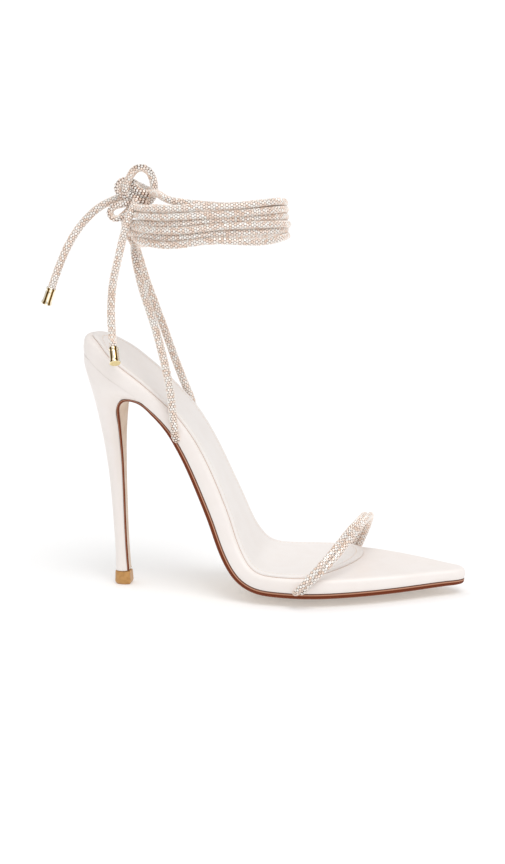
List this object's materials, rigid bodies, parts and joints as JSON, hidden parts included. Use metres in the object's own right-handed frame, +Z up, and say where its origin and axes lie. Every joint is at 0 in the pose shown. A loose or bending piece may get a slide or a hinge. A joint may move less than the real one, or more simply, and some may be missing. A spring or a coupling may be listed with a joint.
{
  "type": "high heel shoe",
  "caption": "Pointed-toe stiletto sandal for a right foot, with a wrapped footbed, a cord strap over the toes and a crystal cord wound round the ankle and tied in a bow.",
  "frame": {"origin": "on the floor under the middle of the shoe, measured without the bow and its ends", "axes": "+X from heel to toe, +Y towards the inner side of the foot, +Z up"},
  "size_m": [0.2314, 0.087, 0.2347],
  "materials": {
    "satin_leather": "satin",
    "sole_leather": "waxed edge",
    "heel_tip": "satin",
    "crystal_cord": "crystal mesh",
    "gold_metal": "polished"
  },
  "bodies": {
    "root": {"footbed": "satin_leather", "insole": "satin_leather", "heel": "satin_leather", "outsole": "sole_leather", "top_lift": "heel_tip", "toe_strap": "crystal_cord", "ankle_strap": "crystal_cord", "knot": "crystal_cord", "upper_loop": "crystal_cord", "lower_loop": "crystal_cord", "back_end": "crystal_cord", "side_end": "crystal_cord", "back_end_aglet": "gold_metal", "side_end_aglet": "gold_metal"}
  },
  "joints": []
}
